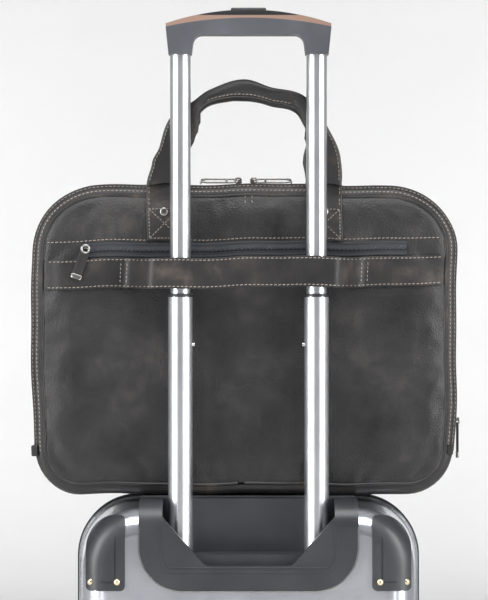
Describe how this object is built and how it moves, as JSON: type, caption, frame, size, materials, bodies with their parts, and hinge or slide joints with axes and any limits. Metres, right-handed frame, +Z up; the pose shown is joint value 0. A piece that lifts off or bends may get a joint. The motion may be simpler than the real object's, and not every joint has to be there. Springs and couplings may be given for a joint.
{
  "type": "rolling laptop case",
  "caption": "Leather laptop briefcase carried on the telescoping handle of a hard-shell case that rolls on swivel casters.",
  "frame": {"origin": "on the floor, under the middle of the whole object's outline", "axes": "+X to the right when the trolley handle faces the viewer, +Y from the trolley handle's side towards the far side, +Z up"},
  "size_m": [0.4441, 0.24, 1.0456],
  "materials": {
    "shell": "glossy silver-grey hard shell",
    "bezel": "satin moulded black",
    "tape": "woven black zip tape and binding",
    "lining": "woven grey lining",
    "tube": "satin anodised",
    "steel": "plain steel",
    "collar": "fine moulded",
    "grip": "fine textured charcoal",
    "cover": "satin black",
    "trim": "bronze lacquer",
    "tyre": "smooth black tread",
    "rivet": "domed and polished",
    "leather": "black pull-up leather",
    "hardware": "polished gunmetal"
  },
  "bodies": {
    "case": {"rear_shell": "shell", "front_shell": "shell", "case_zip": "tape", "rim_bindings": "tape", "rear_corner_guards": "bezel", "front_corner_guards": "bezel", "guard_rivets": "rivet", "trolley_bezel": "bezel", "top_carry_handle": "bezel", "trolley_sleeves": "tube", "sleeve_foot": "bezel", "rear_lining": "lining", "divider_panel": "lining", "caster_housings": "bezel"},
    "lower_stage": {"lower_tube_left": "tube", "lower_tube_right": "tube", "lower_tube_collars": "collar", "guide_rivets": "steel"},
    "upper_stage": {"upper_tube_left": "tube", "upper_tube_right": "tube", "lock_blocks": "bezel", "grip_body": "grip", "grip_trim": "trim", "grip_cover": "cover"},
    "release": {"release_button": "cover", "release_rods": "steel"},
    "bag": {"back_panel": "leather", "front_panel": "leather", "rear_gusset": "leather", "middle_gusset": "leather", "front_gusset": "leather", "base_panel": "leather", "main_zip": "tape", "expansion_zip": "tape", "rear_piping": "leather", "front_piping": "leather", "front_pocket": "leather", "laptop_sleeve": "lining", "pocket_zip": "tape", "trolley_strap": "leather", "handle_tabs": "leather", "tab_rivets": "hardware"},
    "rear_handle_loop": {"rear_handle": "leather"},
    "front_handle_loop": {"front_handle": "leather"},
    "main_slide_left": {"main_slider_left": "hardware"},
    "main_slide_right": {"main_slider_right": "hardware"},
    "main_pull_left": {"main_puller_left": "hardware"},
    "main_pull_right": {"main_puller_right": "hardware"},
    "pocket_slide": {"pocket_slider": "hardware"},
    "pocket_pull": {"pocket_puller": "hardware"},
    "side_slide": {"side_slider": "hardware"},
    "side_pull": {"side_puller": "hardware"},
    "swivel_rear_left": {"caster_fork_rear_left": "bezel"},
    "wheel_rear_left": {"caster_wheel_rear_left": "tyre"},
    "swivel_rear_right": {"caster_fork_rear_right": "bezel"},
    "wheel_rear_right": {"caster_wheel_rear_right": "tyre"},
    "swivel_front_left": {"caster_fork_front_left": "bezel"},
    "wheel_front_left": {"caster_wheel_front_left": "tyre"},
    "swivel_front_right": {"caster_fork_front_right": "bezel"},
    "wheel_front_right": {"caster_wheel_front_right": "tyre"}
  },
  "joints": [
    {"name": "lower_stage_slide", "type": "slide", "parent": "case", "child": "lower_stage", "axis": [0, 0, 1], "range_m": [-0.255, 0]},
    {"name": "upper_stage_slide", "type": "slide", "parent": "lower_stage", "child": "upper_stage", "axis": [0, 0, 1], "range_m": [-0.24, 0]},
    {"name": "release_press", "type": "slide", "parent": "upper_stage", "child": "release", "axis": [0, 0, 1], "range_m": [-0.003, 0], "stiffness_N_per_m": 900, "springref_m": 0.002},
    {"name": "swivel_turn_rear_left", "type": "hinge", "parent": "case", "child": "swivel_rear_left", "pos_m": [-0.125, -0.075, 0.055], "axis": [0, 0, 1], "continuous": true},
    {"name": "wheel_roll_rear_left", "type": "hinge", "parent": "swivel_rear_left", "child": "wheel_rear_left", "pos_m": [-0.125, -0.061, 0.025], "axis": [1, 0, 0], "continuous": true},
    {"name": "swivel_turn_rear_right", "type": "hinge", "parent": "case", "child": "swivel_rear_right", "pos_m": [0.125, -0.075, 0.055], "axis": [0, 0, 1], "continuous": true},
    {"name": "wheel_roll_rear_right", "type": "hinge", "parent": "swivel_rear_right", "child": "wheel_rear_right", "pos_m": [0.125, -0.061, 0.025], "axis": [1, 0, 0], "continuous": true},
    {"name": "swivel_turn_front_left", "type": "hinge", "parent": "case", "child": "swivel_front_left", "pos_m": [-0.125, 0.075, 0.055], "axis": [0, 0, 1], "continuous": true},
    {"name": "wheel_roll_front_left", "type": "hinge", "parent": "swivel_front_left", "child": "wheel_front_left", "pos_m": [-0.125, 0.089, 0.025], "axis": [1, 0, 0], "continuous": true},
    {"name": "swivel_turn_front_right", "type": "hinge", "parent": "case", "child": "swivel_front_right", "pos_m": [0.125, 0.075, 0.055], "axis": [0, 0, 1], "continuous": true},
    {"name": "wheel_roll_front_right", "type": "hinge", "parent": "swivel_front_right", "child": "wheel_front_right", "pos_m": [0.125, 0.089, 0.025], "axis": [1, 0, 0], "continuous": true},
    {"name": "bag_lift", "type": "slide", "parent": "case", "child": "bag", "axis": [0, 0, 1], "range_m": [0, 0.3]},
    {"name": "rear_handle_fold", "type": "hinge", "parent": "bag", "child": "rear_handle_loop", "pos_m": [-0.0045, -0.062, 0.868], "axis": [1, 0, 0], "range_deg": [-58, 0]},
    {"name": "front_handle_fold", "type": "hinge", "parent": "bag", "child": "front_handle_loop", "pos_m": [-0.0045, 0.048, 0.868], "axis": [1, 0, 0], "range_deg": [-125, 55]},
    {"name": "main_slide_left_run", "type": "slide", "parent": "bag", "child": "main_slide_left", "axis": [-1, 0, 0], "range_m": [0, 0.11]},
    {"name": "main_slide_right_run", "type": "slide", "parent": "bag", "child": "main_slide_right", "axis": [1, 0, 0], "range_m": [0, 0.11]},
    {"name": "main_pull_left_lift", "type": "hinge", "parent": "main_slide_left", "child": "main_pull_left", "pos_m": [-0.0095, -0.028, 0.8711], "axis": [0, 1, 0], "range_deg": [0, 90]},
    {"name": "main_pull_right_lift", "type": "hinge", "parent": "main_slide_right", "child": "main_pull_right", "pos_m": [0.0045, -0.028, 0.8711], "axis": [0, 1, 0], "range_deg": [-90, 0]},
    {"name": "pocket_slide_run", "type": "slide", "parent": "bag", "child": "pocket_slide", "axis": [1, 0, 0], "range_m": [0, 0.033]},
    {"name": "pocket_pull_lift", "type": "hinge", "parent": "pocket_slide", "child": "pocket_pull", "pos_m": [-0.1655, -0.0666, 0.8005], "axis": [0.9063, 0, -0.4226], "range_deg": [-120, 0]},
    {"name": "side_slide_run", "type": "slide", "parent": "bag", "child": "side_slide", "axis": [0, 0, 1], "range_m": [0, 0.15]},
    {"name": "side_pull_lift", "type": "hinge", "parent": "side_slide", "child": "side_pull", "pos_m": [0.2186, 0.005, 0.623], "axis": [0, 1, 0], "range_deg": [-120, 0]}
  ]
}
